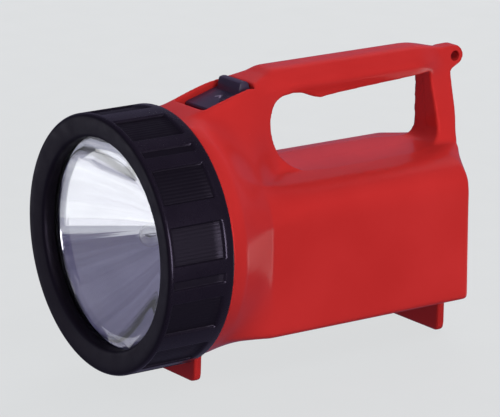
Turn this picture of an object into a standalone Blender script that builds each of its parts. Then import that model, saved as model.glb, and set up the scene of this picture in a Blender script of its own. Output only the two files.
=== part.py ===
"""Hand lantern torch with a carrying handle and a screw-on lamp ring.

Lengths are in millimetres and are turned into metres when a mesh is made. Every piece is placed in the
lamp frame: x across the torch, station s running back from the front rim of the ring along the lamp
axis, and height z above the lamp axis. The lamp frame hangs under one empty, which stands the torch on
its two feet with the origin under the middle of its bounding box.
"""

import math

import bmesh
import bpy
from mathutils import Matrix, Vector

MM = 0.001
GAP = 0.3                     # clearance between touching pieces

# Driving dimensions
RING_RADIUS = 62.0
RING_LENGTH = 35.5
LENS_RADIUS = 55.2
RING_BORE = 56.5
NECK_RADIUS = 55.8
NECK_BORE = 52.6
NECK_FRONT = 14.3
COLLAR_RADIUS = 60.0
COLLAR_START = RING_LENGTH + GAP
COLLAR_END = 44.0
BODY_START = 70.0
BODY_HALF_WIDTH = 42.9
BODY_BOTTOM = -47.5
BODY_CORNER = 3.0
SIDE_TOP = 8.0
CROWN = 23.8
REAR = 202.7
REAR_EDGE = 185.3                # where each side panel ends in an upright edge
REAR_SLOPE = 34.0                # how far in the faces behind that edge run
WALL = 2.0
NECK_HALF_WIDTH = 15.3
HANDLE_TOP = 73.0
HANDLE_HALF_WIDTH = 11.4
HANDLE_START = 97.0
HANDLE_END = 180.0
RAMP_START = 46.0
RAMP_HEIGHT = 58.8
RAMP_SLOPE = math.radians(15.6)
RAMP_HALF_WIDTH = 14.5
EAR_THICKNESS = 9.0
EAR_CENTRE = (205.3, 64.9)
EAR_RADIUS = 5.3
EAR_HOLE_RADIUS = 2.6
FOOT_HALF_WIDTH = 21.0
FOOT_THICKNESS = 4.2
FRONT_FOOT = 40.0
REAR_FOOT = 184.3
AXIS_HEIGHT = 69.0
BATTERY_WIDTH = 66.5
BATTERY_LENGTH = 102.0
BATTERY_START = 84.0
BATTERY_HEIGHT = -12.05       # height of the battery's middle against the lamp axis
OVERALL_LENGTH = EAR_CENTRE[0] + EAR_RADIUS

PARTS = "hand_lantern"
CUTTERS = "cutters"


def clear_scene():
    for item in list(bpy.data.objects):
        bpy.data.objects.remove(item, do_unlink=True)


def make_collection(name, hidden=False):
    collection = bpy.data.collections.new(name)
    bpy.context.scene.collection.children.link(collection)
    collection.hide_render = hidden
    return collection


def make_material(name, colour, roughness, metallic=0.0):
    material = bpy.data.materials.new(name)
    material.use_nodes = True
    shader = material.node_tree.nodes["Principled BSDF"]
    shader.inputs["Base Color"].default_value = (*colour, 1.0)
    shader.inputs["Roughness"].default_value = roughness
    shader.inputs["Metallic"].default_value = metallic
    return material


def smoothstep(value, low, high):
    t = min(max((value - low) / (high - low), 0.0), 1.0)
    return t * t * (3.0 - 2.0 * t)


def add_object(name, mesh, material):
    item = bpy.data.objects.new(name, mesh)
    parts.objects.link(item)
    item.parent = lamp_frame
    mesh.materials.clear()
    mesh.materials.append(material)
    return item


def add_cutter(name, mesh):
    item = bpy.data.objects.new(name, mesh)
    cutters.objects.link(item)
    item.parent = lamp_frame
    item.hide_render = True
    item.display_type = "WIRE"
    return item


def mesh_from(name, build):
    """Run a bmesh building function and return its mesh, scaled to metres, faces pointing out."""
    work = bmesh.new()
    build(work)
    bmesh.ops.recalc_face_normals(work, faces=work.faces)
    work.transform(Matrix.Scale(MM, 4))
    mesh = bpy.data.meshes.new(name)
    work.to_mesh(mesh)
    work.free()
    return mesh


def box_mesh(name, low, high, placing=None):
    """A box between two corners in millimetres, then placed by a matrix."""
    def build(work):
        size = [high[i] - low[i] for i in range(3)]
        centre = [(high[i] + low[i]) / 2 for i in range(3)]
        shape = Matrix.Translation(centre) @ Matrix.Diagonal((*size, 1.0))
        bmesh.ops.create_cube(work, size=1.0, matrix=(placing or Matrix()) @ shape)
    return mesh_from(name, build)


def prism_mesh(name, outline, low_x, high_x):
    """A side-view outline of (station, height) points, extruded across from low_x to high_x."""
    def build(work):
        near = [work.verts.new((high_x, s, z)) for s, z in outline]
        far = [work.verts.new((low_x, s, z)) for s, z in outline]
        work.faces.new(near)
        work.faces.new(list(reversed(far)))
        for i in range(len(outline)):
            j = (i + 1) % len(outline)
            work.faces.new((near[i], far[i], far[j], near[j]))
    return mesh_from(name, build)


def loft_mesh(name, sections):
    """A skin through closed sections of equal point count, closed by a cap at each end."""
    def build(work):
        rings = [[work.verts.new(point) for point in section] for section in sections]
        for first, second in zip(rings, rings[1:]):
            for i in range(len(first)):
                j = (i + 1) % len(first)
                work.faces.new((first[i], first[j], second[j], second[i]))
        work.faces.new(list(reversed(rings[0])))
        work.faces.new(rings[-1])
        bent = [face for face in work.faces if len(face.verts) == 4]
        bmesh.ops.triangulate(work, faces=bent)
    return mesh_from(name, build)


def turned_mesh(name, outline):
    """Profile of (radius, station) points for a Screw modifier turning about the local Z axis."""
    closed = outline[0][0] > 0 or outline[-1][0] > 0
    points = [(radius * MM, 0.0, -station * MM) for radius, station in outline]
    edges = [(i, i + 1) for i in range(len(points) - 1)]
    if closed:
        edges.append((len(points) - 1, 0))
    mesh = bpy.data.meshes.new(name)
    mesh.from_pydata(points, edges, [])
    return mesh


def turn(item, sides):
    """Spin a profile into a solid of revolution about the lamp axis."""
    item.rotation_euler = (math.pi / 2, 0.0, 0.0)
    screw = item.modifiers.new("turn", "SCREW")
    screw.axis = "Z"
    screw.angle = math.tau
    screw.steps = sides
    screw.render_steps = sides
    screw.use_merge_vertices = True
    screw.merge_threshold = 0.00002
    screw.use_smooth_shade = True
    return item


def turned(name, outline, sides, material):
    return turn(add_object(name, turned_mesh(name, outline), material), sides)


def arc(centre, radius, start, end, count):
    """Points on a circular arc, angles in degrees, ends included."""
    angles = [math.radians(start + (end - start) * i / (count - 1)) for i in range(count)]
    return [(centre[0] + radius * math.cos(a), centre[1] + radius * math.sin(a)) for a in angles]


def cut(item, cutter):
    boolean = item.modifiers.new("cut_" + cutter.name, "BOOLEAN")
    boolean.operation = "DIFFERENCE"
    boolean.object = cutter


def join(item, addition):
    boolean = item.modifiers.new("join_" + addition.name, "BOOLEAN")
    boolean.operation = "UNION"
    boolean.object = addition


# Housing ---------------------------------------------------------------------------------------------

def ramp_height(s):
    return RAMP_HEIGHT + math.tan(RAMP_SLOPE) * (s - RAMP_START)


def top_height(s):
    """Height of the housing's top line: ramp, level handle, then down into the lanyard ear."""
    if s < HANDLE_START:
        rise = smoothstep(s, HANDLE_START - 8.0, HANDLE_START)
        return ramp_height(s) * (1 - rise) + HANDLE_TOP * rise
    return HANDLE_TOP - 3.4 * smoothstep(s, HANDLE_END, 201.0)


def half_width(s):
    """Half-width of the box body in plan: flat sides, then a face sloping in behind an upright edge."""
    if s <= REAR_EDGE:
        return BODY_HALF_WIDTH
    along = (s - REAR_EDGE) / (REAR - REAR_EDGE)
    return BODY_HALF_WIDTH - REAR_SLOPE * (0.88 * along + 0.12 * along * along)


def box_outline(s):
    """Lower half outline from the bottom seam to the shoulder: flat bottom, side, rounded roof."""
    width = half_width(s)
    corner = min(BODY_CORNER, 0.5 * width)
    points = [(0.0, BODY_BOTTOM), (0.45 * (width - corner), BODY_BOTTOM)]
    points += arc((width - corner, BODY_BOTTOM + corner), corner, -90, 0, 5)
    points += [(width, z) for z in (-28.0, -14.0, 0.0, SIDE_TOP)]
    base = min(NECK_HALF_WIDTH + 1.2, width * 0.92)
    for angle in (18, 36, 52, 66, 79):
        t = math.radians(angle)
        across = math.cos(t) ** 0.85
        up = math.sin(t) ** 0.85
        points.append((base + (width - base) * across, SIDE_TOP + (CROWN - 0.6 - SIDE_TOP) * up))
    return points


def neck_outline(s):
    """Upper half outline from the neck's foot to the top seam, on the handle and the rear post."""
    limit = half_width(s)
    rear = smoothstep(s, 176.0, 201.0)
    post = smoothstep(s, 170.0, 188.0)
    top = top_height(s)
    edge = HANDLE_HALF_WIDTH * (1 - rear) + EAR_THICKNESS / 2 * rear
    foot = NECK_HALF_WIDTH * (1 - post) + (9.6 + 4.0 * rear) * post
    waist = 12.6 * (1 - post) + (8.9 + 0.6 * rear) * post
    upper = 12.0 * (1 - post) + (8.8 - 3.4 * rear) * post
    points = [(foot, CROWN + 0.8), (foot * 0.35 + waist * 0.65, 29.0), (waist, 38.0)]
    points += [(upper * 0.5 + waist * 0.5, 47.0), (upper, 56.0), (edge, top - 5.0)]
    points += [(edge * 0.93, top - 2.2), (edge * 0.72, top - 0.6), (edge * 0.38, top), (0.0, top)]
    return [(min(x, limit), z) for x, z in points]


def column_outline(s):
    """Upper half outline on the ramp column: straight sloping sides under a flat ramp."""
    top = ramp_height(s)
    edge = RAMP_HALF_WIDTH
    points = [(33.0, 26.5), (29.0, 32.0), (24.5, 39.0), (20.5, 46.5), (17.0, 54.5)]
    points += [(edge + 0.6, top - 2.0), (edge, top - 0.6), (edge * 0.95, top), (edge * 0.5, top), (0.0, top)]
    return points


def round_outline(outline, radius, s):
    """The outline's points pushed out onto the round collar, flattened under the ramp."""
    flat = ramp_height(s)
    points = []
    for x, z in outline:
        size = math.hypot(x, z)
        points.append((x / size * radius, min(z / size * radius, flat)))
    return points


def key_outlines():
    """The housing's half outlines at its key stations, with equal point counts."""
    box = box_outline(BODY_START)
    shoulder = box[:11] + [(41.6, 12.0), (40.3, 16.0), (38.6, 19.6), (36.6, 22.6), (34.6, 25.0)]
    column = shoulder + column_outline(BODY_START)
    collar = round_outline(column, COLLAR_RADIUS, COLLAR_START)
    collar_end = round_outline(column, COLLAR_RADIUS - 0.6, COLLAR_END)
    return [(COLLAR_START, collar), (COLLAR_END, collar_end), (BODY_START, column)]


def body_outline(s):
    """Half outline at any station behind the column."""
    return box_outline(s) + neck_outline(s)


def hermite(values, stations, s):
    """Smooth curve through the key values, level at the first and last."""
    index = 0
    while s > stations[index + 1]:
        index += 1
    slopes = [0.0]
    for i in range(1, len(values) - 1):
        slopes.append((values[i + 1] - values[i - 1]) / (stations[i + 1] - stations[i - 1]))
    slopes.append(0.0)
    width = stations[index + 1] - stations[index]
    t = (s - stations[index]) / width
    start = (1 + 2 * t) * (1 - t) ** 2 * values[index] + t * (1 - t) ** 2 * width * slopes[index]
    end = t * t * (3 - 2 * t) * values[index + 1] + t * t * (t - 1) * width * slopes[index + 1]
    return start + end


def outline_at(s):
    """Half outline of the housing at a station, bottom seam to top seam."""
    if s >= HANDLE_START:
        return body_outline(s)
    keys = key_outlines() + [(HANDLE_START, body_outline(HANDLE_START))]
    stations = [key[0] for key in keys]
    points = []
    for i in range(len(keys[0][1])):
        x = hermite([key[1][i][0] for key in keys], stations, s)
        z = hermite([key[1][i][1] for key in keys], stations, s)
        points.append((x, z))
    top = points[-5:]
    height = top_height(s)
    drop = top[-1][1] - height
    return points[:-5] + [(x, z - drop) for x, z in top]


def full_section(outline, s):
    """Closed section of the whole housing from its half outline."""
    return [(x, s, z) for x, z in outline] + [(-x, s, z) for x, z in reversed(outline[1:-1])]


def housing_stations():
    front = [COLLAR_START, 40.0, COLLAR_END, 47.0, 50.0, 53.0, 56.5, 60.0, 63.5, 67.0, BODY_START]
    column = [74.0, 78.0, 82.0, 86.0, 90.0, 93.5, HANDLE_START]
    handle = [108.0, 140.0, 168.7, 173.0, 177.0, 181.0]
    rear = [REAR_EDGE - 1.2, REAR_EDGE, 189.0, 193.0, 197.0, 200.5, REAR]
    return front + column + handle + rear


def housing_half(name, material):
    """One moulded half: neck, collar, box body, ramp column, handle loop, ear and half feet."""
    neck = round_outline(key_outlines()[-1][1], NECK_RADIUS, 400.0)
    sections = [full_section(neck, NECK_FRONT), full_section(neck, COLLAR_START)]
    sections += [full_section(outline_at(s), s) for s in housing_stations()]
    return add_object(name, loft_mesh(name, sections), material)


def lanyard_ear():
    """Side-view outline of the lanyard ear, a tab behind the end of the handle."""
    root = [(196.0, 69.6), (194.0, 60.0), (199.0, 56.0), (202.2, 57.4)]
    return arc(EAR_CENTRE, EAR_RADIUS, -45, 90, 9) + root


def foot_mesh(name, start, top):
    """A cross foot: a plate across the torch with rounded lower corners."""
    corner = 3.0
    floor = -AXIS_HEIGHT
    outline = arc((FOOT_HALF_WIDTH - corner, floor + corner), corner, -90, 0, 4)
    outline += [(FOOT_HALF_WIDTH + 0.8, top), (-FOOT_HALF_WIDTH - 0.8, top)]
    outline += arc((corner - FOOT_HALF_WIDTH, floor + corner), corner, 180, 270, 4)
    sections = [[(x, s, z) for x, z in outline] for s in (start, start + FOOT_THICKNESS)]
    return loft_mesh(name, sections)


def handle_opening():
    """Side-view outline of the hand opening, with the finger bump on its upper edge."""
    outline = [(106.0, CROWN), (101.0, 26.2), (96.6, 29.8), (92.8, 34.6), (90.2, 40.4), (89.2, 46.6)]
    outline += [(90.2, 52.6), (93.0, 57.6), (96.0, 59.8), (103.0, 60.8), (110.0, 59.8), (116.0, 57.4)]
    outline += [(120.5, 56.2), (127.0, 56.8), (150.0, 58.2), (186.6, 60.0), (188.4, 58.6)]
    outline += arc((184.2, CROWN + 7.0), 7.0, 3, -90, 6)
    return outline


def ramp_matrix():
    """Frame on the ramp: x across, y up along the ramp from its foot, z out of its surface."""
    place = Matrix.Translation((0.0, RAMP_START, RAMP_HEIGHT))
    return place @ Matrix.Rotation(RAMP_SLOPE, 4, "X")


TROUGH_FRONT = 5.2
TROUGH_REAR = 35.4
TROUGH_HALF_WIDTH = 12.3
PLATE_RECESS = 3.2
PLATE_THICKNESS = 2.4
TROUGH_DEPTH = PLATE_RECESS + PLATE_THICKNESS + GAP
FLOOR_THICKNESS = 2.0


def battery_bay(name, shrink=0.0):
    """Hollow of the box body for the battery, following the body's outline inside its wall."""
    def section(s):
        width = half_width(s + WALL) - WALL - shrink
        corner = 4.0
        bottom = BODY_BOTTOM + WALL + shrink
        right = arc((width - corner, bottom + corner), corner, -90, 0, 4)
        right += [(width, SIDE_TOP - 1.0)]
        for angle in (25, 48, 68, 84):
            t = math.radians(angle)
            x = 15.0 + (width - 15.0) * math.cos(t) ** 0.85
            z = SIDE_TOP - 1.0 + (CROWN - WALL - shrink - SIDE_TOP + 1.0) * math.sin(t) ** 0.85
            right.append((x, z))
        left = [(-x, z) for x, z in reversed(right)]
        return [(x, s, z) for x, z in right + left]
    stations = [57.0, 164.0, 172.0, 180.0, 187.0, 192.0, 195.5]
    return loft_mesh(name, [section(s) for s in stations])


def column_hollow():
    """Side-view outline of the hollow under the ramp, which holds the switch."""
    below = (TROUGH_DEPTH + FLOOR_THICKNESS) / math.cos(RAMP_SLOPE)
    roof = [(52.0, ramp_height(52.0) - below), (83.5, ramp_height(83.5) - below)]
    return [(52.0, 20.0)] + roof + [(83.5, 20.0)]


def handle_hollow():
    """Side-view outline of the hollow inside the handle."""
    floor = [(82.0, 63.2), (92.0, 64.0), (180.0, 64.0), (184.0, 66.0)]
    return floor + [(184.0, 69.6), (92.0, 70.0), (82.0, 64.6)]


def leave_battery_ribs(bay):
    """Leave two upright ribs inside each side wall, which keep the battery in the middle of the body."""
    inner = BATTERY_WIDTH / 2 + 0.6
    outer = BODY_HALF_WIDTH + 3.0
    for side in (-1, 1):
        for index, s in enumerate((98.0, 158.0)):
            low, high = sorted((side * inner, side * outer))
            shape = box_mesh("rib", (low, s, BODY_BOTTOM - 5.0), (high, s + 1.8, 4.0))
            cut(bay, add_cutter("rib_%d_%d" % (side > 0, index), shape))


def cut_housing(halves):
    """Add the ear and the feet to the whole housing, hollow it, cut its openings and part the halves."""
    solids = [add_cutter("ear", prism_mesh("ear", lanyard_ear(), -EAR_THICKNESS / 2, EAR_THICKNESS / 2)),
              add_cutter("front_foot", foot_mesh("front_foot", FRONT_FOOT, -54.5)),
              add_cutter("rear_foot", foot_mesh("rear_foot", REAR_FOOT, BODY_BOTTOM + 1.2))]
    bore = turn(add_cutter("lamp_bore", turned_mesh("lamp_bore", [
        (0.0, 10.0), (NECK_BORE, 10.0), (NECK_BORE, 47.0), (40.0, 63.0), (0.0, 63.0)])), 64)
    bay = add_cutter("battery_bay", battery_bay("battery_bay"))
    hollow = add_cutter("column_hollow", prism_mesh("column_hollow", column_hollow(), -9.3, 9.3))
    channel = add_cutter("handle_hollow", prism_mesh("handle_hollow", handle_hollow(), -7.4, 7.4))
    opening = add_cutter("hand_opening", prism_mesh("hand_opening", handle_opening(), -60.0, 60.0))
    trough = add_cutter("switch_trough", box_mesh(
        "switch_trough", (-TROUGH_HALF_WIDTH, TROUGH_FRONT, -TROUGH_DEPTH),
        (TROUGH_HALF_WIDTH, TROUGH_REAR, 12.0), ramp_matrix()))
    slot = add_cutter("switch_slot", box_mesh(
        "switch_slot", (-3.2, 12.3, -TROUGH_DEPTH - FLOOR_THICKNESS - 2.0), (3.2, 26.7, 0.0), ramp_matrix()))
    hole = turn(add_cutter("lanyard_hole", turned_mesh("lanyard_hole", [
        (0.0, -12.0), (EAR_HOLE_RADIUS, -12.0), (EAR_HOLE_RADIUS, 12.0), (0.0, 12.0)])), 20)
    hole.rotation_euler = (0.0, math.pi / 2, 0.0)
    hole.location = (0.0, EAR_CENTRE[0] * MM, EAR_CENTRE[1] * MM)
    leave_battery_ribs(bay)
    for half, side in zip(halves, (1, -1)):
        for solid in solids:
            join(half, solid)
        for cutter in (bore, bay, hollow, channel, opening, trough, slot, hole):
            cut(half, cutter)
        low, high = sorted((side * GAP / 2, -side * 90.0))
        other_side = box_mesh("seam", (low, -20.0, -90.0), (high, 240.0, 90.0))
        cut(half, add_cutter("seam_" + half.name, other_side))


# Lamp unit and ring ----------------------------------------------------------------------------------

PAD_COUNT = 6
PAD_PAIR_ANGLE = 54.5
RECESS_DEPTH = 1.3


def bezel_ring(material):
    """Screw-on ring: flat front face, short inner funnel, grip band with recesses between pads."""
    outline = arc((RING_RADIUS - 1.8, 1.8), 1.8, -90, -5, 4)
    outline += [(RING_RADIUS, 4.0), (RING_RADIUS, 34.7), (RING_RADIUS - 0.8, RING_LENGTH)]
    outline += [(RING_BORE, RING_LENGTH), (RING_BORE, 7.7), (50.4, 7.7), (50.4, 6.9), (52.3, 0.7), (53.2, 0.0)]
    ring = turned("bezel_ring", outline, 120, material)
    for index in range(PAD_COUNT):
        turn_to = math.radians(PAD_PAIR_ANGLE + 60.0 * index)
        for offset in (-16.8, 16.8):
            cutter = recess_cutter("recess_%d_%d" % (index, offset > 0), turn_to + math.radians(offset))
            cut(ring, cutter)
    return ring


def recess_cutter(name, angle):
    """Block that cuts one shallow recess into the grip band at an angle about the lamp axis."""
    half = (RING_RADIUS - RECESS_DEPTH) * math.tan(math.radians(8.2))
    low = (RING_RADIUS - RECESS_DEPTH, 2.8, -half)
    high = (RING_RADIUS + 3.0, 30.2, half)
    return add_cutter(name, box_mesh(name, low, high, Matrix.Rotation(-angle, 4, "Y")))


def lens(material):
    outline = [(0.0, 8.0), (LENS_RADIUS - 0.5, 8.0), (LENS_RADIUS, 8.5), (LENS_RADIUS, 10.4), (0.0, 10.4)]
    return turned("lens", outline, 72, material)


def lens_gasket(material):
    outline = [(51.2, 10.7), (LENS_RADIUS, 10.7), (LENS_RADIUS, 12.0), (51.2, 12.0)]
    return turned("lens_gasket", outline, 72, material)


BOWL_MOUTH = 50.4
BOWL_FOCUS = 18.2
BOWL_REAR = 46.8
BOWL_TUBE = 9.6
SHELL = 1.5


def bowl_station(radius):
    """Station of the reflecting surface at a radius: a paraboloid of the given focus."""
    vertex = BOWL_REAR + BOWL_TUBE ** 2 / (4 * BOWL_FOCUS)
    return vertex - radius ** 2 / (4 * BOWL_FOCUS)


def reflector(material):
    """Bowl with a mouth flange that rests on the neck, and a rear tube for the bulb holder."""
    flange = bowl_station(BOWL_MOUTH)
    radii = [BOWL_MOUTH - (BOWL_MOUTH - BOWL_TUBE) * i / 12 for i in range(13)]
    outer = [(LENS_RADIUS, 12.3), (LENS_RADIUS, 13.9), (BOWL_MOUTH + 1.2, 13.9)]
    outer += [(r + SHELL * 0.6, bowl_station(r) + SHELL * 0.9) for r in radii[1:-1]]
    outer += [(BOWL_TUBE + SHELL, BOWL_REAR + 0.6), (BOWL_TUBE + SHELL, 54.0), (BOWL_TUBE, 54.0)]
    inner = [(r, bowl_station(r)) for r in reversed(radii)]
    inner[-1] = (BOWL_MOUTH, max(flange, 12.3))
    return turned("reflector", outer + inner, 60, material)


def bulb_glass(material):
    outline = [(0.0, 25.4)] + [(5.6 * math.sin(math.radians(a)), 31.0 - 5.6 * math.cos(math.radians(a)))
                               for a in range(20, 141, 20)]
    outline += [(3.9, 37.0), (3.9, 41.2), (0.0, 41.2)]
    return turned("bulb_glass", outline, 24, material)


def bulb_base(material):
    outline = [(0.0, 41.5), (7.4, 41.5), (7.4, 42.7), (4.6, 42.7), (4.6, 51.5), (2.0, 52.6), (2.0, 54.4)]
    outline += [(0.0, 54.4)]
    return turned("bulb_base", outline, 24, material)


def bulb_holder(material):
    """Sleeve that carries the bulb in the reflector's tube, with a flange behind the tube."""
    outline = [(4.9, 43.0), (BOWL_TUBE - GAP, 43.0), (BOWL_TUBE - GAP, 54.3), (12.6, 54.3), (12.6, 56.4)]
    outline += [(3.0, 56.4), (3.0, 53.4), (4.9, 51.8)]
    return turned("bulb_holder", outline, 32, material)


def holder_nut(material):
    """Knurled nut on the outside of the reflector's tube, which traps the holder's flange."""
    outline = [(BOWL_TUBE + SHELL + GAP, 49.5), (15.4, 49.5), (15.4, 58.2), (8.0, 58.2), (8.0, 56.7)]
    outline += [(12.9, 56.7), (12.9, 54.0), (BOWL_TUBE + SHELL + GAP, 54.0)]
    return turned("holder_nut", outline, 24, material)


# Battery and contacts --------------------------------------------------------------------------------

def rounded_square(half, corner, steps=4):
    points = []
    for quarter in range(4):
        centre_x = (half - corner) * (1 if quarter in (0, 3) else -1)
        centre_z = (half - corner) * (1 if quarter in (0, 1) else -1)
        points += arc((centre_x, centre_z), corner, 90 * quarter, 90 * quarter + 90, steps)
    return points


def battery_case(material):
    half = BATTERY_WIDTH / 2
    full = rounded_square(half, 12.5)
    small = rounded_square(half - 1.2, 11.6)
    rear = BATTERY_START + BATTERY_LENGTH
    rows = [(small, BATTERY_START), (full, BATTERY_START + 1.2), (full, rear - 1.2), (small, rear)]
    sections = [[(x, s, z + BATTERY_HEIGHT) for x, z in points] for points, s in rows]
    return add_object("battery_case", loft_mesh("battery_case", sections), material)


CENTRE_SPRING = (0.0, BATTERY_HEIGHT)
CORNER_SPRING = (23.0, BATTERY_HEIGHT + 23.0)
BOARD_FRONT = 68.6
BOARD_REAR = 70.6
RIVET_RADIUS = 2.0
PLATE_METAL = 0.5


def coil(name, centre, base_radius, tip_radius, start, end, turns, wire, material):
    """Conical compression spring from a station near its base to a station at its tip."""
    curve = bpy.data.curves.new(name, "CURVE")
    curve.dimensions = "3D"
    curve.bevel_depth = wire / 2 * MM
    curve.bevel_resolution = 1
    curve.use_fill_caps = True
    per_turn = 10
    count = int(turns * per_turn)
    spline = curve.splines.new("POLY")
    spline.points.add(count)
    for i in range(count + 1):
        t = i / count
        radius = base_radius + (tip_radius - base_radius) * t
        angle = math.tau * turns * t
        x = centre[0] + radius * math.cos(angle)
        z = centre[1] + radius * math.sin(angle)
        spline.points[i].co = (x * MM, (start + (end - start) * t) * MM, z * MM, 1.0)
    item = bpy.data.objects.new(name, curve)
    parts.objects.link(item)
    item.parent = lamp_frame
    curve.materials.append(material)
    return item


def wire(name, points, thickness, material):
    """A bent lead through hand-placed points, softened by a smooth curve between them."""
    curve = bpy.data.curves.new(name, "CURVE")
    curve.dimensions = "3D"
    curve.bevel_depth = thickness / 2 * MM
    curve.bevel_resolution = 1
    curve.use_fill_caps = True
    path = smooth_path([Vector(point) for point in points], 4)
    spline = curve.splines.new("POLY")
    spline.points.add(len(path) - 1)
    for i, point in enumerate(path):
        spline.points[i].co = (*(point * MM), 1.0)
    item = bpy.data.objects.new(name, curve)
    parts.objects.link(item)
    item.parent = lamp_frame
    curve.materials.append(material)
    return item


def smooth_path(points, steps):
    """Catmull-Rom curve through the points."""
    path = []
    for i in range(len(points) - 1):
        before = points[max(i - 1, 0)]
        after = points[min(i + 2, len(points) - 1)]
        start, end = points[i], points[i + 1]
        for k in range(steps):
            t = k / steps
            slope_a = (end - before) / 2
            slope_b = (after - start) / 2
            path.append((2 * t ** 3 - 3 * t ** 2 + 1) * start + (t ** 3 - 2 * t ** 2 + t) * slope_a
                        + (3 * t ** 2 - 2 * t ** 3) * end + (t ** 3 - t ** 2) * slope_b)
    path.append(points[-1])
    return path


def contact_board(material):
    """Insulating board across the body between the lamp unit and the battery, holed for the rivet."""
    right = [(38.0, -43.5), (38.0, 9.0), (30.0, 16.5), (20.0, 20.0)]
    outline = right + [(-x, z) for x, z in reversed(right)]
    sections = [[(x, s, z) for x, z in outline] for s in (BOARD_FRONT, BOARD_REAR)]
    board = add_object("contact_board", loft_mesh("contact_board", sections), material)
    radius = RIVET_RADIUS + GAP
    hole = turned_mesh("rivet_hole", [(0.0, 66.0), (radius, 66.0), (radius, 73.0), (0.0, 73.0)])
    cut(board, turn(add_cutter("rivet_hole", hole), 16))
    return board


def contact_rivet(material):
    """Rivet through the board on the lamp axis, from the lamp spring's seat to the centre contact."""
    outline = [(0.0, BOARD_FRONT - 1.0), (5.4, BOARD_FRONT - 1.0), (5.4, BOARD_FRONT - GAP)]
    outline += [(RIVET_RADIUS, BOARD_FRONT - GAP), (RIVET_RADIUS, BOARD_REAR), (0.0, BOARD_REAR)]
    return turned("contact_rivet", outline, 16, material)


def plain_box(name, low, high, material):
    return add_object(name, box_mesh(name, low, high), material)


def side_contact(material):
    """Bent brass leaf from under the switch down to the back of the reflector."""
    path = [(62.0, 41.4), (50.0, 38.6), (46.3, 20.0)]
    back = [(46.9, 19.9), (50.5, 38.0), (62.0, 40.8)]
    return add_object("side_contact", prism_mesh("side_contact", path + back, -3.0, 3.0), material)


# Switch ----------------------------------------------------------------------------------------------

PLATE_FRONT = 10.6
PLATE_REAR = 34.9
PLATE_HALF_WIDTH = 12.0
THUMB_FRONT = 27.4
THUMB_HALF_WIDTH = 9.0
THUMB_HEIGHT = 6.4
STEM_HALF_WIDTH = 2.8
STEM_FRONT = 18.0
STEM_REAR = 26.0
STEM_DEPTH = 11.2


def switch_slider(material):
    """Recessed plate with a raised thumb block at its rear, and a stem through the trough's floor."""
    top = -PLATE_RECESS
    bottom = top - PLATE_THICKNESS
    side_view = [(PLATE_FRONT, bottom), (PLATE_REAR, bottom), (PLATE_REAR, top), (PLATE_FRONT + 0.8, top),
                 (PLATE_FRONT, top - 0.8)]

    def prism(work, outline, half):
        near = [work.verts.new((half, y, z)) for y, z in outline]
        far = [work.verts.new((-half, y, z)) for y, z in outline]
        work.faces.new(near)
        work.faces.new(list(reversed(far)))
        for i in range(len(outline)):
            j = (i + 1) % len(outline)
            work.faces.new((near[i], far[i], far[j], near[j]))
        return near + far

    def place(work):
        bmesh.ops.transform(work, matrix=ramp_matrix(), verts=work.verts)

    def plate(work):
        prism(work, side_view, PLATE_HALF_WIDTH)
        place(work)

    def thumb(work):
        outline = [(THUMB_FRONT, top - 1.0), (PLATE_REAR - 0.4, top - 1.0), (PLATE_REAR - 0.4, top + 4.6)]
        outline += [(PLATE_REAR - 1.8, top + THUMB_HEIGHT - 0.3), (THUMB_FRONT + 3.6, top + THUMB_HEIGHT)]
        outline += [(THUMB_FRONT + 2.6, top + THUMB_HEIGHT - 0.9)]
        prism(work, outline, THUMB_HALF_WIDTH)
        place(work)

    slider = add_object("switch_slider", mesh_from("switch_slider", plate), material)
    join(slider, add_cutter("thumb_block", mesh_from("thumb_block", thumb)))
    stem = box_mesh("slider_stem", (-STEM_HALF_WIDTH, STEM_FRONT, -STEM_DEPTH),
                    (STEM_HALF_WIDTH, STEM_REAR, bottom + 1.0), ramp_matrix())
    join(slider, add_cutter("slider_stem", stem))
    foot = box_mesh("slider_foot", (-7.0, STEM_FRONT - 1.0, -STEM_DEPTH - 1.6),
                    (7.0, STEM_REAR + 1.0, -STEM_DEPTH + 0.6), ramp_matrix())
    join(slider, add_cutter("slider_foot", foot))
    return slider


def ramp_box(name, low, high, material):
    return add_object(name, box_mesh(name, low, high, ramp_matrix()), material)


# Assembly --------------------------------------------------------------------------------------------

clear_scene()
parts = make_collection(PARTS)
cutters = make_collection(CUTTERS, hidden=True)

lamp_frame = bpy.data.objects.new("lamp_frame", None)
parts.objects.link(lamp_frame)
lamp_frame.location = (0.0, -OVERALL_LENGTH / 2 * MM, AXIS_HEIGHT * MM)

red = make_material("red_plastic", (0.42, 0.022, 0.024), 0.28)
black = make_material("black_plastic", (0.010, 0.008, 0.012), 0.35)
grey = make_material("grey_plastic", (0.060, 0.048, 0.075), 0.4)
clear = make_material("clear_plastic", (0.9, 0.95, 1.0), 0.03)
rubber = make_material("rubber", (0.02, 0.02, 0.02), 0.7)
silver = make_material("silvered", (0.86, 0.86, 0.9), 0.06, 1.0)
glass = make_material("bulb_glass", (0.95, 0.95, 0.95), 0.02)
brass = make_material("brass", (0.72, 0.5, 0.2), 0.3, 1.0)
steel = make_material("spring_steel", (0.55, 0.55, 0.56), 0.3, 1.0)
white = make_material("white_plastic", (0.7, 0.7, 0.68), 0.45)
board = make_material("board", (0.25, 0.13, 0.05), 0.6)
case = make_material("battery_case", (0.03, 0.05, 0.12), 0.5)
red_lead = make_material("red_lead", (0.5, 0.02, 0.02), 0.5)

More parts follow.
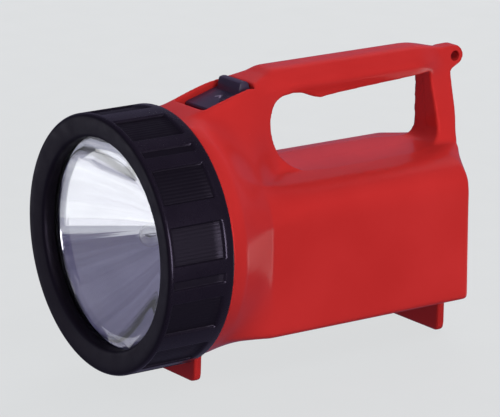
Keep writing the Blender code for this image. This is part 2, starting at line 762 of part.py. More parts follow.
housing = [housing_half("housing_left", red), housing_half("housing_right", red)]
cut_housing(housing)
bezel_ring(black)
lens(clear)
lens_gasket(rubber)
reflector(silver)
bulb_glass(glass)
bulb_base(brass)
bulb_holder(white)
holder_nut(white)
battery_case(case)
coil("battery_spring_centre", CENTRE_SPRING, 11.0, 5.0, BATTERY_START - 1.0, 72.4, 3.5, 1.3, steel)
coil("battery_spring_corner", CORNER_SPRING, 6.5, 4.5, BATTERY_START - 1.0, 72.4, 4, 1.2, steel)
coil("lamp_spring", (0.0, 0.0), 4.4, 2.1, BOARD_FRONT - 1.9, 55.3, 5, 1.0, steel)
contact_board(board)
contact_rivet(brass)
metal_front = BOARD_REAR + GAP
metal_rear = metal_front + PLATE_METAL
plain_box("centre_contact", (-9.0, metal_front, -22.0), (9.0, metal_rear, 5.0), brass)
plain_box("corner_contact", (14.0, metal_front, 6.0), (29.0, metal_rear, 15.5), brass)
side_contact(brass)
battery_rear = BATTERY_START + BATTERY_LENGTH
bay_rear = 195.5
plain_box("rear_pad", (-16.0, battery_rear + GAP, -32.0), (16.0, bay_rear - GAP, 8.0), rubber)

switch_slider(grey)
foot_bottom = -STEM_DEPTH - 1.6
ramp_box("switch_bridge", (-5.0, STEM_FRONT - 0.8, foot_bottom - GAP - PLATE_METAL),
         (5.0, STEM_REAR + 0.8, foot_bottom - GAP), brass)
ramp_box("switch_carrier", (-9.0, 8.0, -19.5), (9.0, 33.0, -15.5), white)
ramp_box("fixed_contact_front", (-4.0, 9.0, -15.2), (4.0, 15.5, -14.7), brass)
ramp_box("fixed_contact_rear", (-4.0, 19.5, -15.2), (4.0, 32.0, -14.7), brass)
wire("battery_lead", [(17.0, 72.9, 13.5), (13.0, 73.4, 17.0), (8.0, 74.4, 19.5), (6.0, 75.4, 26.0),
                      (5.6, 76.0, 36.0), (5.6, 76.0, 45.4)], 1.6, red_lead)
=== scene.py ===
"""Looks of the hand lantern torch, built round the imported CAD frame.

Shapes are worked out in millimetres in the lamp frame: x across the torch, station s running back
from the ring's front rim along the lamp axis, and height z above that axis. place() turns such a
point into the row frame, in metres.
"""

import math

import bmesh
import bpy
import numpy as np
from mathutils import Matrix, Vector


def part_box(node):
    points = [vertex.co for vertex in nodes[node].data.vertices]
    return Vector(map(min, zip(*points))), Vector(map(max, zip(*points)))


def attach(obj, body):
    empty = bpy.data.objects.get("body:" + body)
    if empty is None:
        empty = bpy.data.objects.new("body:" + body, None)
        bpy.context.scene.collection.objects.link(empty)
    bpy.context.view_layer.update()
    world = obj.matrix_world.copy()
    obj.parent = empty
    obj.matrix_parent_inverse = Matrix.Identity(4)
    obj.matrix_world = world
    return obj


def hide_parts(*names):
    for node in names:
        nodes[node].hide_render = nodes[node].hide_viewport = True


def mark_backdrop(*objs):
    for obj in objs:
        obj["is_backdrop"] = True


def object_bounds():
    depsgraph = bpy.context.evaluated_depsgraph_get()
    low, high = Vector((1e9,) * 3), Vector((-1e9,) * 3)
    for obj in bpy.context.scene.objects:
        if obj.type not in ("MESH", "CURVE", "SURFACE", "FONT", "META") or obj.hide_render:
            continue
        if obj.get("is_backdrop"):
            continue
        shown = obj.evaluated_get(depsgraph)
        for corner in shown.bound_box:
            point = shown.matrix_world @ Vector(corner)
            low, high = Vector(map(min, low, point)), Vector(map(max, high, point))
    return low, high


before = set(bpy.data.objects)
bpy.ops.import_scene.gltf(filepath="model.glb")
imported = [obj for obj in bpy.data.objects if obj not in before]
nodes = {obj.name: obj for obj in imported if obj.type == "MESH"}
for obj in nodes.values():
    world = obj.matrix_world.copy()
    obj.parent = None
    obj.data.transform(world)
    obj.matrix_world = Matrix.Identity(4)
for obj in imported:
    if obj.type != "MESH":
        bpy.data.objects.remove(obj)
cad_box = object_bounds()

MM = 0.001
AXIS_HEIGHT = 69.0
STATION_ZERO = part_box("bezel_ring")[0].y / MM     # the ring's front rim in the row frame

# Housing dimensions, as in the CAD
COLLAR_RADIUS = 60.0
COLLAR_START = 35.8
COLLAR_END = 44.0
NECK_RADIUS = 55.8
NECK_BORE = 52.6
NECK_FRONT = 14.3
BODY_START = 70.0
BODY_HALF_WIDTH = 42.9
BODY_BOTTOM = -47.5
BODY_CORNER = 3.0
SIDE_TOP = 8.0
CROWN = 23.8
REAR = 202.7
REAR_EDGE = 185.3              # where each side panel ends in an upright edge
REAR_SLOPE = 34.0              # how far in the faces behind that edge run
WALL = 2.0
NECK_HALF_WIDTH = 15.3
HANDLE_TOP = 73.0
HANDLE_HALF_WIDTH = 11.4
HANDLE_START = 97.0
HANDLE_END = 180.0
HANDLE_DROP = 3.4              # fall of the handle's top from its end to the ear
HANDLE_NARROWS = 176.0
POST_START = 170.0
POST_FULL = 188.0
EAR_START = 201.0
RAMP_START = 46.0
RAMP_HEIGHT = 58.8
RAMP_SLOPE = math.radians(15.6)
RAMP_HALF_WIDTH = 14.5
EAR_THICKNESS = 9.0
EAR_CENTRE = (205.3, 64.9)
EAR_RADIUS = 5.3
EAR_HOLE_RADIUS = 2.6
FOOT_HALF_WIDTH = 21.0
FOOT_THICKNESS = 4.2
FRONT_FOOT = 40.0
REAR_FOOT = 184.3
BATTERY_WIDTH = 66.5
SEAM = 0.04                    # half the gap left between the two halves
VOXEL = 0.75                   # grid of the remesh that eases the housing's edges
SOFT_ROUNDS = 4                # passes of that easing
KEPT_FACES = 0.4               # share of the remeshed faces that is kept
FAR_STATION = 400.0            # behind the ramp, so that it doesn't flatten the round neck

# Switch trough, measured along the ramp from its foot
TROUGH_FRONT = 5.2
TROUGH_REAR = 35.4
TROUGH_HALF_WIDTH = 12.3
PLATE_RECESS = 3.2
PLATE_THICKNESS = 2.4
TROUGH_DEPTH = PLATE_RECESS + PLATE_THICKNESS + 0.3
FLOOR_THICKNESS = 2.0

# Ring dimensions
RING_RADIUS = 62.0
RING_LENGTH = 35.5
RING_BORE = 56.5
RING_SIDES = 1440
FRONT_ROUND = 1.8
LIP_RADIUS = 50.4
PAIR_ANGLE = 54.5              # where the first pair of pads sits about the axis
PAIR_SPACING = 60.0
GRIP_FRONT = 2.6
GRIP_REAR = 30.05
RECESS_DEPTH = 1.3
RECESS_START = 8.5             # degrees from the middle of a pair of pads
RECESS_END = 25.0
GROOVE_DEPTH = 1.0
GROOVE_HALF_ANGLE = 2.0
WALL_BLEND = 0.35              # degrees over which a recess wall rises
RIB_HEIGHT = 0.09
RIB_PITCH = math.radians(1.65)
RIB_START = 9.3
RIB_END = 24.2

# Lamp unit dimensions
LENS_RADIUS = 55.2
LENS_FRONT = 8.0
LENS_BACK = 10.4
BOWL_MOUTH = 50.4
BOWL_FOCUS = 18.2
BOWL_REAR = 46.8
BOWL_TUBE = 9.6
BOWL_TUBE_END = 54.0
BOWL_STEPS = 40
SHELL = 1.5
BULB_CENTRE = 31.0
BULB_RADIUS = 5.6
BULB_BORE = 5.1
FILAMENT_REACH = 2.1
FILAMENT_STEPS = 96
COIL_STEPS = 36                # points on each turn of a spring
LAMP_SIDES = 256


# Placing and meshes ----------------------------------------------------------------------------

def place(x, s, z):
    return Vector((x * MM, STATION_ZERO * MM + s * MM, (z + AXIS_HEIGHT) * MM))


LAMP_TO_ROW = Matrix.Translation((0.0, STATION_ZERO * MM, AXIS_HEIGHT * MM)) @ Matrix.Scale(MM, 4)


def new_object(name, mesh, material=None):
    item = bpy.data.objects.new(name, mesh)
    bpy.context.scene.collection.objects.link(item)
    if material:
        mesh.materials.clear()
        mesh.materials.append(material)
    return item


def mesh_of(name, points, faces, lamp=True):
    mesh = bpy.data.meshes.new(name)
    mesh.from_pydata([tuple(p) for p in points], [], faces)
    if lamp:
        mesh.transform(LAMP_TO_ROW)
    work = bmesh.new()
    work.from_mesh(mesh)
    bmesh.ops.recalc_face_normals(work, faces=work.faces)
    work.to_mesh(mesh)
    work.free()
    return mesh


def loft(name, sections):
    """Closed skin through sections of equal point count, triangulated, with a cap at each end."""
    count = len(sections[0])
    points = [p for section in sections for p in section]
    faces = []
    for k in range(len(sections) - 1):
        for i in range(count):
            j = (i + 1) % count
            a, b, c, d = k * count + i, k * count + j, (k + 1) * count + j, (k + 1) * count + i
            faces += [(a, b, c), (a, c, d)]
    faces.append(tuple(reversed(range(count))))
    faces.append(tuple(range(len(points) - count, len(points))))
    return mesh_of(name, points, faces)


def prism(name, outline, low_x, high_x, matrix=None):
    """A side-view outline of (station, height) points extruded across the torch."""
    sections = [[Vector((x, s, z)) for s, z in outline] for x in (low_x, high_x)]
    if matrix:
        sections = [[matrix @ p for p in section] for section in sections]
    return loft(name, sections)


def block(name, low, high, matrix=None):
    outline = [(low[1], low[2]), (high[1], low[2]), (high[1], high[2]), (low[1], high[2])]
    return prism(name, outline, low[0], high[0], matrix)


def arc(centre, radius, start, end, count):
    angles = [math.radians(start + (end - start) * i / (count - 1)) for i in range(count)]
    return [(centre[0] + radius * math.cos(a), centre[1] + radius * math.sin(a)) for a in angles]


def spun(name, outline, sides, shape=None, closed=True):
    """Solid of revolution about the lamp axis from (radius, station) points.

    A closed outline makes a ring. An open one starts and ends on the axis, and is closed by a point
    there. shape(angle, index, radius) may change a point's radius.
    """
    points, faces = [], []
    rows = []
    for index, (radius, station) in enumerate(outline):
        if radius < 1e-6:
            rows.append([len(points)])
            points.append((0.0, station, 0.0))
            continue
        row = []
        for k in range(sides):
            angle = math.tau * k / sides
            r = shape(angle, index, radius) if shape else radius
            row.append(len(points))
            points.append((r * math.cos(angle), station, r * math.sin(angle)))
        rows.append(row)
    pairs = list(zip(rows, rows[1:] + rows[:1])) if closed else list(zip(rows, rows[1:]))
    for first, second in pairs:
        for k in range(sides):
            j = (k + 1) % sides
            if len(first) == 1 and len(second) == 1:
                continue
            if len(first) == 1:
                faces.append((first[0], second[k], second[j]))
            elif len(second) == 1:
                faces.append((first[k], second[0], first[j]))
            else:
                faces.append((first[k], second[k], second[j], first[j]))
    return mesh_of(name, points, faces)


def applied(item):
    """Replace an object's mesh by its evaluated one and drop its modifiers."""
    depsgraph = bpy.context.evaluated_depsgraph_get()
    mesh = bpy.data.meshes.new_from_object(item.evaluated_get(depsgraph))
    item.modifiers.clear()
    item.data = mesh
    return item


def combine(item, mesh, operation, solver="MANIFOLD"):
    """Join a solid to an object, or cut it away, at once."""
    other = new_object("tool", mesh)
    boolean = item.modifiers.new("boolean", "BOOLEAN")
    boolean.operation = operation
    boolean.solver = solver
    boolean.object = other
    applied(item)
    bpy.data.objects.remove(other, do_unlink=True)
    return item


def shade(item, angle=50.0):
    """Smooth shading, broken where faces meet at more than the angle."""
    work = bmesh.new()
    work.from_mesh(item.data)
    limit = math.radians(angle)
    for face in work.faces:
        face.smooth = True
    for edge in work.edges:
        edge.smooth = not (len(edge.link_faces) == 2 and edge.calc_face_angle(0.0) > limit)
    work.to_mesh(item.data)
    work.free()
    return item


def painted(item, material):
    """Give every face one material."""
    item.data.materials.clear()
    item.data.materials.append(material)
    return item


def bevelled(item, width, segments=2, angle=30.0):
    bevel = item.modifiers.new("bevel", "BEVEL")
    bevel.width = width * MM
    bevel.segments = segments
    bevel.limit_method = "ANGLE"
    bevel.angle_limit = math.radians(angle)
    bevel.harden_normals = False
    return applied(item)


# Materials -------------------------------------------------------------------------------------

class Shader:
    """A Principled material and a few short ways to wire procedural detail into it."""

    def __init__(self, name, **values):
        self.material = bpy.data.materials.new(name)
        self.material.use_nodes = True
        self.tree = self.material.node_tree
        self.shader = self.tree.nodes["Principled BSDF"]
        self.coords = self.tree.nodes.new("ShaderNodeTexCoord").outputs["Object"]
        for key, value in values.items():
            self.shader.inputs[key.replace("_", " ")].default_value = value

    def node(self, kind, inputs=(), **settings):
        node = self.tree.nodes.new(kind)
        for key, value in settings.items():
            setattr(node, key, value)
        for key, value in dict(inputs).items():
            if isinstance(value, bpy.types.NodeSocket):
                self.tree.links.new(value, node.inputs[key])
            else:
                node.inputs[key].default_value = value
        return node

    def noise(self, scale, detail=3.0, roughness=0.5, vector=None):
        inputs = {"Vector": vector or self.coords, "Scale": scale, "Detail": detail,
                  "Roughness": roughness}
        return self.node("ShaderNodeTexNoise", inputs).outputs["Fac"]

    def stretched(self, scale):
        inputs = {"Vector": self.coords, "Scale": scale}
        return self.node("ShaderNodeMapping", inputs).outputs["Vector"]

    def calc(self, operation, first, second=None):
        inputs = {0: first} if second is None else {0: first, 1: second}
        return self.node("ShaderNodeMath", inputs, operation=operation).outputs[0]

    def about_lamp_axis(self):
        """How far a point lies across the torch, along it, and above the lamp axis, in metres."""
        split = self.node("ShaderNodeSeparateXYZ", {"Vector": self.coords})
        height = self.calc("ADD", split.outputs["Z"], -AXIS_HEIGHT * MM)
        return split.outputs["X"], split.outputs["Y"], height

    def ramp(self, value, low, high, out_low, out_high):
        inputs = {"Value": value, "From Min": low, "From Max": high,
                  "To Min": out_low, "To Max": out_high}
        return self.node("ShaderNodeMapRange", inputs).outputs["Result"]

    def mix(self, factor, first, second, mode="MIX"):
        node = self.node("ShaderNodeMix", data_type="RGBA", blend_type=mode)
        for index, value in ((0, factor), (6, first), (7, second)):
            socket = node.inputs[index]
            if isinstance(value, bpy.types.NodeSocket):
                self.tree.links.new(value, socket)
            elif index == 0:
                socket.default_value = value
            else:
                socket.default_value = (*value, 1.0)
        return node.outputs[2]

    def colour(self, socket):
        self.tree.links.new(socket, self.shader.inputs["Base Color"])

    def rough(self, socket):
        self.tree.links.new(socket, self.shader.inputs["Roughness"])

    def bump(self, height, distance, strength=1.0):
        inputs = {"Height": height, "Distance": distance, "Strength": strength}
        before = self.shader.inputs["Normal"]
        if before.is_linked:
            inputs["Normal"] = before.links[0].from_socket
        normal = self.node("ShaderNodeBump", inputs).outputs["Normal"]
        self.tree.links.new(normal, before)


def moulded(name, dark, light, roughness, peel=0.00001, tint=None, specular=0.5, spread=0.05):
    """Moulded plastic: slow colour drift, uneven gloss, faint orange peel, fine handling marks."""
    look = Shader(name, Specular_IOR_Level=specular)
    if tint:
        look.shader.inputs["Specular Tint"].default_value = (*tint, 1.0)
    drift = look.ramp(look.noise(22.0, 4.0), 0.35, 0.65, 0.0, 1.0)
    look.colour(look.mix(drift, dark, light))
    gloss = look.ramp(look.noise(130.0, 5.0, 0.6), 0.3, 0.7, roughness - spread, roughness + spread)
    along = look.stretched((1.0, 0.12, 1.0))
    marks = look.ramp(look.noise(900.0, 2.0, 0.5, along), 0.66, 0.8, 0.0, 0.07)
    look.rough(look.calc("ADD", gloss, marks))
    look.bump(look.noise(700.0, 2.0), peel)
    return look.material


def metal(name, colour, roughness, streak=(1.0, 1.0, 1.0), scale=1200.0):
    """Drawn or plated metal with fine streaks and slight staining."""
    look = Shader(name, Metallic=1.0)
    stain = look.ramp(look.noise(160.0, 4.0), 0.35, 0.75, 0.0, 0.45)
    look.colour(look.mix(stain, colour, tuple(0.72 * c for c in colour)))
    lines = look.noise(scale, 2.0, 0.5, look.stretched(streak))
    look.rough(look.ramp(lines, 0.3, 0.7, roughness - 0.07, roughness + 0.1))
    look.bump(lines, 0.000008)
    return look.material


def grip_material():
    """Black ring plastic: the pads are polished by hands and the floors of the recesses stay dull,
    and the recess floors are painted darker than the pads as painted shade.
    """
    look = Shader("grip_plastic", Specular_IOR_Level=0.3)
    look.shader.inputs["Specular Tint"].default_value = (0.8, 0.68, 1.0, 1.0)
    across, _, height = look.about_lamp_axis()
    flat = look.node("ShaderNodeCombineXYZ", {"X": across, "Y": height}).outputs[0]
    radius = look.node("ShaderNodeVectorMath", {0: flat}, operation="LENGTH").outputs["Value"]
    pad_polish_and_shade = look.ramp(radius, (RING_RADIUS - 1.1) * MM, (RING_RADIUS - 0.4) * MM, 0.0, 1.0)
    drift = look.ramp(look.noise(30.0, 4.0), 0.35, 0.65, 0.0, 1.0)
    pad_colour = look.mix(drift, (0.006, 0.0042, 0.007), (0.009, 0.0064, 0.0105))
    # The recess floors take a darker colour than the pads: painted shade in the recesses.
    look.colour(look.mix(pad_polish_and_shade, (0.0035, 0.0025, 0.0035), pad_colour))
    gloss = look.ramp(look.noise(150.0, 5.0, 0.6), 0.3, 0.7, -0.04, 0.06)
    base = look.ramp(pad_polish_and_shade, 0.0, 1.0, 0.5, 0.27)
    look.rough(look.calc("ADD", base, gloss))
    look.bump(look.noise(800.0, 2.0), 0.000008)
    return look.material


red = moulded("red_plastic", (0.44, 0.021, 0.019), (0.48, 0.025, 0.023), 0.2, 0.000003,
              tint=(1.0, 0.07, 0.08), specular=0.22, spread=0.03)
grey = moulded("grey_plastic", (0.032, 0.022, 0.045), (0.043, 0.03, 0.06), 0.36, 0.00001,
               specular=0.35)
mark_grey = moulded("mark_plastic", (0.20, 0.16, 0.23), (0.24, 0.19, 0.27), 0.4)
rubber = moulded("rubber", (0.016, 0.016, 0.017), (0.028, 0.027, 0.027), 0.7, 0.00003)
white = moulded("white_plastic", (0.62, 0.61, 0.57), (0.70, 0.69, 0.66), 0.42, 0.00001)
lead_red = moulded("lead_red", (0.40, 0.012, 0.012), (0.5, 0.02, 0.018), 0.45)
brass = metal("brass", (0.72, 0.50, 0.20), 0.28, (1.0, 0.1, 1.0))
steel = metal("spring_steel", (0.56, 0.56, 0.58), 0.26, (0.3, 1.0, 0.3))
tungsten = metal("filament_metal", (0.36, 0.36, 0.38), 0.35)


def board_material():
    look = Shader("board")
    weave = look.ramp(look.noise(500.0, 6.0, 0.7), 0.35, 0.65, 0.0, 1.0)
    look.colour(look.mix(weave, (0.17, 0.075, 0.028), (0.27, 0.135, 0.055)))
    look.rough(look.ramp(weave, 0.0, 1.0, 0.5, 0.68))
    look.bump(weave, 0.00003)
    return look.material


def battery_material():
    """Blank printed wrap: a dark blue case with a pale band near each end."""
    look = Shader("battery_wrap")
    along = look.node("ShaderNodeSeparateXYZ", {"Vector": look.coords}).outputs["Y"]
    low, high = (corner.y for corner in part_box("battery_case"))
    middle, half = (low + high) / 2, (high - low) / 2
    away = look.calc("ABSOLUTE", look.calc("ADD", along, -middle))
    band = look.ramp(away, 0.74 * half, 0.75 * half, 0.0, 1.0)
    end = look.ramp(away, 0.90 * half, 0.91 * half, 0.0, 1.0)
    striped = look.mix(band, (0.018, 0.04, 0.13), (0.56, 0.55, 0.50))
    look.colour(look.mix(end, striped, (0.02, 0.02, 0.024)))
    look.rough(look.ramp(look.noise(90.0, 4.0), 0.3, 0.7, 0.34, 0.5))
    look.bump(look.noise(260.0, 3.0), 0.00002)
    return look.material


def lens_material():
    look = Shader("clear_plastic", Roughness=0.0, IOR=1.49, Transmission_Weight=1.0)
    look.shader.inputs["Base Color"].default_value = (0.975, 0.98, 1.0, 1.0)
    look.rough(look.ramp(look.noise(240.0, 4.0, 0.6), 0.6, 0.9, 0.0, 0.015))
    return look.material


def glass_material():
    look = Shader("bulb_glass", Roughness=0.0, IOR=1.5, Transmission_Weight=1.0)
    look.shader.inputs["Base Color"].default_value = (0.99, 0.99, 0.985, 1.0)
    look.rough(look.ramp(look.noise(500.0, 3.0), 0.6, 0.9, 0.0, 0.06))
    return look.material


def silvered_material():
    """Vacuum-silvered bowl: bright metal with faint spokes and rings left by its moulding."""
    look = Shader("silvered", Metallic=1.0)
    across, along, height = look.about_lamp_axis()
    angle = look.calc("ARCTAN2", height, across)
    polar = look.node("ShaderNodeCombineXYZ", {"X": angle, "Y": along}).outputs[0]
    spokes = look.noise(5.0, 3.0, 0.6, polar)
    bands = look.noise(60.0, 2.0, 0.5)
    streaks = look.ramp(spokes, 0.38, 0.62, 0.0, 1.0)
    streaked = look.mix(streaks, (0.66, 0.65, 0.74), (0.93, 0.93, 0.97))
    look.colour(look.mix(look.ramp(bands, 0.45, 0.8, 0.0, 0.5), streaked, (0.60, 0.60, 0.68)))
    look.rough(look.ramp(spokes, 0.3, 0.7, 0.06, 0.12))
    look.bump(spokes, 0.0002)
    return look.material


clear = lens_material()
glass = glass_material()
silver = silvered_material()


# Housing ---------------------------------------------------------------------------------------

def smoothstep(value, low, high):
    t = min(max((value - low) / (high - low), 0.0), 1.0)
    return t * t * (3.0 - 2.0 * t)


def ramp_height(s):
    return RAMP_HEIGHT + math.tan(RAMP_SLOPE) * (s - RAMP_START)


def top_height(s):
    if s < HANDLE_START:
        rise = smoothstep(s, HANDLE_START - 8.0, HANDLE_START)
        return ramp_height(s) * (1 - rise) + HANDLE_TOP * rise
    return HANDLE_TOP - HANDLE_DROP * smoothstep(s, HANDLE_END, EAR_START)


def half_width(s):
    """Half-width of the box body in plan: flat sides, then faces sloping in behind an edge."""
    if s <= REAR_EDGE:
        return BODY_HALF_WIDTH
    along = (s - REAR_EDGE) / (REAR - REAR_EDGE)
    return BODY_HALF_WIDTH - REAR_SLOPE * (0.88 * along + 0.12 * along * along)


def box_outline(s):
    """Half outline of the box body from the bottom seam to the crown."""
    width = half_width(s)
    corner = min(BODY_CORNER, 0.5 * width)
    points = [(0.0, BODY_BOTTOM), (0.45 * (width - corner), BODY_BOTTOM)]
    points += arc((width - corner, BODY_BOTTOM + corner), corner, -90, 0, 5)
    points += [(width, z) for z in (-28.0, -14.0, 0.0, SIDE_TOP)]
    base = min(NECK_HALF_WIDTH + 1.2, width * 0.92)
    for angle in (18, 36, 52, 66, 79):
        t = math.radians(angle)
        across = math.cos(t) ** 0.85
        up = math.sin(t) ** 0.85
        points.append((base + (width - base) * across, SIDE_TOP + (CROWN - 0.6 - SIDE_TOP) * up))
    return points


def neck_outline(s):
    """Half outline of the handle and the rear post, from the crown to the top seam."""
    limit = half_width(s)
    rear = smoothstep(s, HANDLE_NARROWS, EAR_START)
    post = smoothstep(s, POST_START, POST_FULL)
    top = top_height(s)
    edge = HANDLE_HALF_WIDTH * (1 - rear) + EAR_THICKNESS / 2 * rear
    foot = NECK_HALF_WIDTH * (1 - post) + (9.6 + 4.0 * rear) * post
    waist = 12.6 * (1 - post) + (8.9 + 0.6 * rear) * post
    upper = 12.0 * (1 - post) + (8.8 - 3.4 * rear) * post
    under = upper - 2.2 * smoothstep(s, HANDLE_START, HANDLE_START + 9.0) * (1 - post)
    ridge = edge + 1.6 * smoothstep(s, HANDLE_START - 6.0, HANDLE_START + 6.0) * (1 - rear)
    points = [(foot, CROWN + 0.8), (foot * 0.35 + waist * 0.65, 29.0), (waist, 38.0)]
    points += [(upper * 0.5 + waist * 0.5, 47.0), (under, 56.5), (ridge, top - 8.0)]
    points += [(edge * 0.84, top - 3.0), (edge * 0.66, top - 0.8), (edge * 0.38, top), (0.0, top)]
    return [(min(x, limit), z) for x, z in points]


def column_outline(s):
    """Half outline of the ramp column: straight sloping sides under a flat ramp."""
    top = ramp_height(s)
    edge = RAMP_HALF_WIDTH
    points = [(33.0, 26.5), (29.0, 32.0), (24.5, 39.0), (20.5, 46.5), (17.0, 54.5)]
    points += [(edge + 0.6, top - 2.0), (edge, top - 0.6), (edge * 0.95, top)]
    points += [(edge * 0.5, top), (0.0, top)]
    return points


def round_outline(outline, radius, s):
    """The outline's points pushed out onto the round collar, flattened under the ramp."""
    flat = ramp_height(s)
    points = []
    for x, z in outline:
        size = math.hypot(x, z)
        points.append((x / size * radius, min(z / size * radius, flat)))
    return points


def curve_point(t, first, last, leaving, arriving):
    """Point of a cubic between two points, from its slopes there."""
    return ((1 + 2 * t) * (1 - t) ** 2 * first + t * (1 - t) ** 2 * leaving
            + t * t * (3 - 2 * t) * last + t * t * (t - 1) * arriving)


def bend_slope(before, here, after):
    """Slope of a rounded outline at one of its points, held to the shorter side's length."""
    lengths = (here - before).length, (after - here).length
    back, ahead = (here - before).normalized(), (after - here).normalized()
    return (back * lengths[1] + ahead * lengths[0]).normalized() * min(lengths)


def refine(points, steps=4):
    """Round the outline between its points without overshooting at a sharp corner."""
    at = [Vector(p) for p in points]
    slopes = [Vector((1.0, 0.0)) * (at[1] - at[0]).length]
    slopes += [bend_slope(*at[i - 1:i + 2]) for i in range(1, len(at) - 1)]
    slopes.append(Vector((1.0, 0.0)) * -(at[-1] - at[-2]).length)
    fine = []
    for i in range(len(at) - 1):
        fine += [curve_point(k / steps, at[i], at[i + 1], slopes[i], slopes[i + 1])
                 for k in range(steps)]
    fine.append(at[-1])
    return [(p.x, p.y) for p in fine]


def key_outlines():
    """The fine half outlines at the collar's two ends and at the start of the box body."""
    box = box_outline(BODY_START)
    shoulder = box[:11] + [(41.6, 12.0), (40.3, 16.0), (38.6, 19.6), (36.6, 22.6), (34.6, 25.0)]
    column = refine(shoulder + column_outline(BODY_START))
    collar = round_outline(column, COLLAR_RADIUS, COLLAR_START)
    collar_end = round_outline(column, COLLAR_RADIUS - 0.6, COLLAR_END)
    return [(COLLAR_START, collar), (COLLAR_END, collar_end), (BODY_START, column)]


def body_outline(s):
    return refine(box_outline(s) + neck_outline(s))


KEYS = key_outlines()
FRONT_KEYS = KEYS + [(HANDLE_START, body_outline(HANDLE_START))]
CREASE = np.array([[1.0 - smoothstep(z, 8.0, 24.0)] for _, z in KEYS[-1][1]])
TOP_POINTS = 17                # fine points on the ramp and its rounded edge


def hermite(values, stations, s):
    """Smooth curve through the key values, level at both ends, creased at the facet's edges."""
    index = 0
    while s > stations[index + 1]:
        index += 1
    slopes = [np.zeros_like(values[0])]
    for i in range(1, len(values) - 1):
        slopes.append((values[i + 1] - values[i - 1]) / (stations[i + 1] - stations[i - 1]))
    slopes.append(np.zeros_like(values[0]))
    width = stations[index + 1] - stations[index]
    chord = (values[index + 1] - values[index]) / width
    leaving, arriving = slopes[index], slopes[index + 1]
    if index < 2:
        arriving = arriving * (1 - CREASE) + chord * CREASE
    if index > 0:
        leaving = leaving * (1 - CREASE) + chord * CREASE * (index == 1)
    t = (s - stations[index]) / width
    start = (1 + 2 * t) * (1 - t) ** 2 * values[index] + t * (1 - t) ** 2 * width * leaving
    end = t * t * (3 - 2 * t) * values[index + 1] + t * t * (t - 1) * width * arriving
    return start + end


def outline_at(s):
    """Fine half outline of the housing at a station, bottom seam to top seam."""
    if s >= HANDLE_START:
        return body_outline(s)
    stations = [key[0] for key in FRONT_KEYS]
    points = hermite([np.array(key[1]) for key in FRONT_KEYS], stations, s)
    points[-TOP_POINTS:, 1] -= points[-1, 1] - top_height(s)
    return [tuple(p) for p in points]


def full_section(outline, s):
    return [(x, s, z) for x, z in outline] + [(-x, s, z) for x, z in reversed(outline[1:-1])]


def housing_stations():
    front = list(np.arange(COLLAR_START, HANDLE_START, 1.5)) + [HANDLE_START]
    handle = list(np.arange(100.0, 168.0, 4.0)) + list(np.arange(168.0, REAR_EDGE - 1.0, 1.5))
    rear = list(np.arange(REAR_EDGE, REAR - 0.5, 1.2))
    return front + handle + rear + [REAR]


def handle_opening():
    """Side-view outline of the hand opening, with the finger bump on its upper edge."""
    outline = [(106.0, CROWN), (101.0, 26.2), (96.6, 29.8), (92.8, 34.6), (90.2, 40.4)]
    outline += [(89.2, 46.6), (90.2, 52.6), (93.0, 57.6), (96.0, 59.8)]
    outline += [(103.0, 60.8), (110.0, 59.8), (116.0, 57.4)]
    outline += [(120.5, 56.2), (127.0, 56.8), (150.0, 58.2), (186.6, 60.0), (188.4, 58.6)]
    outline += arc((184.2, CROWN + 7.0), 7.0, 3, -90, 6)
    return outline


def rounded_loop(points, steps=4):
    """A closed outline with its bends rounded and its long straight runs kept."""
    at = [Vector(p) for p in points]
    count = len(at)
    slopes = [bend_slope(at[i - 1], at[i], at[(i + 1) % count]) for i in range(count)]
    fine = []
    for i in range(count):
        j = (i + 1) % count
        fine += [curve_point(k / steps, at[i], at[j], slopes[i], slopes[j])
                 for k in range(steps)]
    return [(p.x, p.y) for p in fine]


def ramp_matrix():
    """Frame on the ramp: x across, y up along the ramp from its foot, z out of its surface."""
    return Matrix.Translation((0.0, RAMP_START, RAMP_HEIGHT)) @ Matrix.Rotation(RAMP_SLOPE, 4, "X")


def foot(name, start, top):
    corner = 3.0
    floor = -AXIS_HEIGHT
    outline = arc((FOOT_HALF_WIDTH - corner, floor + corner), corner, -90, 0, 6)
    outline += [(FOOT_HALF_WIDTH + 0.8, top), (-FOOT_HALF_WIDTH - 0.8, top)]
    outline += arc((corner - FOOT_HALF_WIDTH, floor + corner), corner, 180, 270, 6)
    return loft(name, [[(x, s, z) for x, z in outline] for s in (start, start + FOOT_THICKNESS)])


def battery_bay():
    """Hollow of the box body for the battery, inside its wall."""
    def section(s):
        width = half_width(s + WALL) - WALL
        bottom = BODY_BOTTOM + WALL
        right = arc((width - 4.0, bottom + 4.0), 4.0, -90, 0, 4) + [(width, SIDE_TOP - 1.0)]
        for angle in (25, 48, 68, 84):
            t = math.radians(angle)
            x = 15.0 + (width - 15.0) * math.cos(t) ** 0.85
            z = SIDE_TOP - 1.0 + (CROWN - WALL - SIDE_TOP + 1.0) * math.sin(t) ** 0.85
            right.append((x, z))
        return [(x, s, z) for x, z in right + [(-x, z) for x, z in reversed(right)]]
    return loft("bay", [section(s) for s in (57.0, 164.0, 172.0, 180.0, 187.0, 192.0, 195.5)])


def battery_ribs():
    inner = BATTERY_WIDTH / 2 + 0.6
    for side in (-1, 1):
        for s in (98.0, 158.0):
            low, high = sorted((side * inner, side * (BODY_HALF_WIDTH - 1.0)))
            yield block("rib", (low, s, BODY_BOTTOM + 3.0), (high, s + 1.8, 4.0))


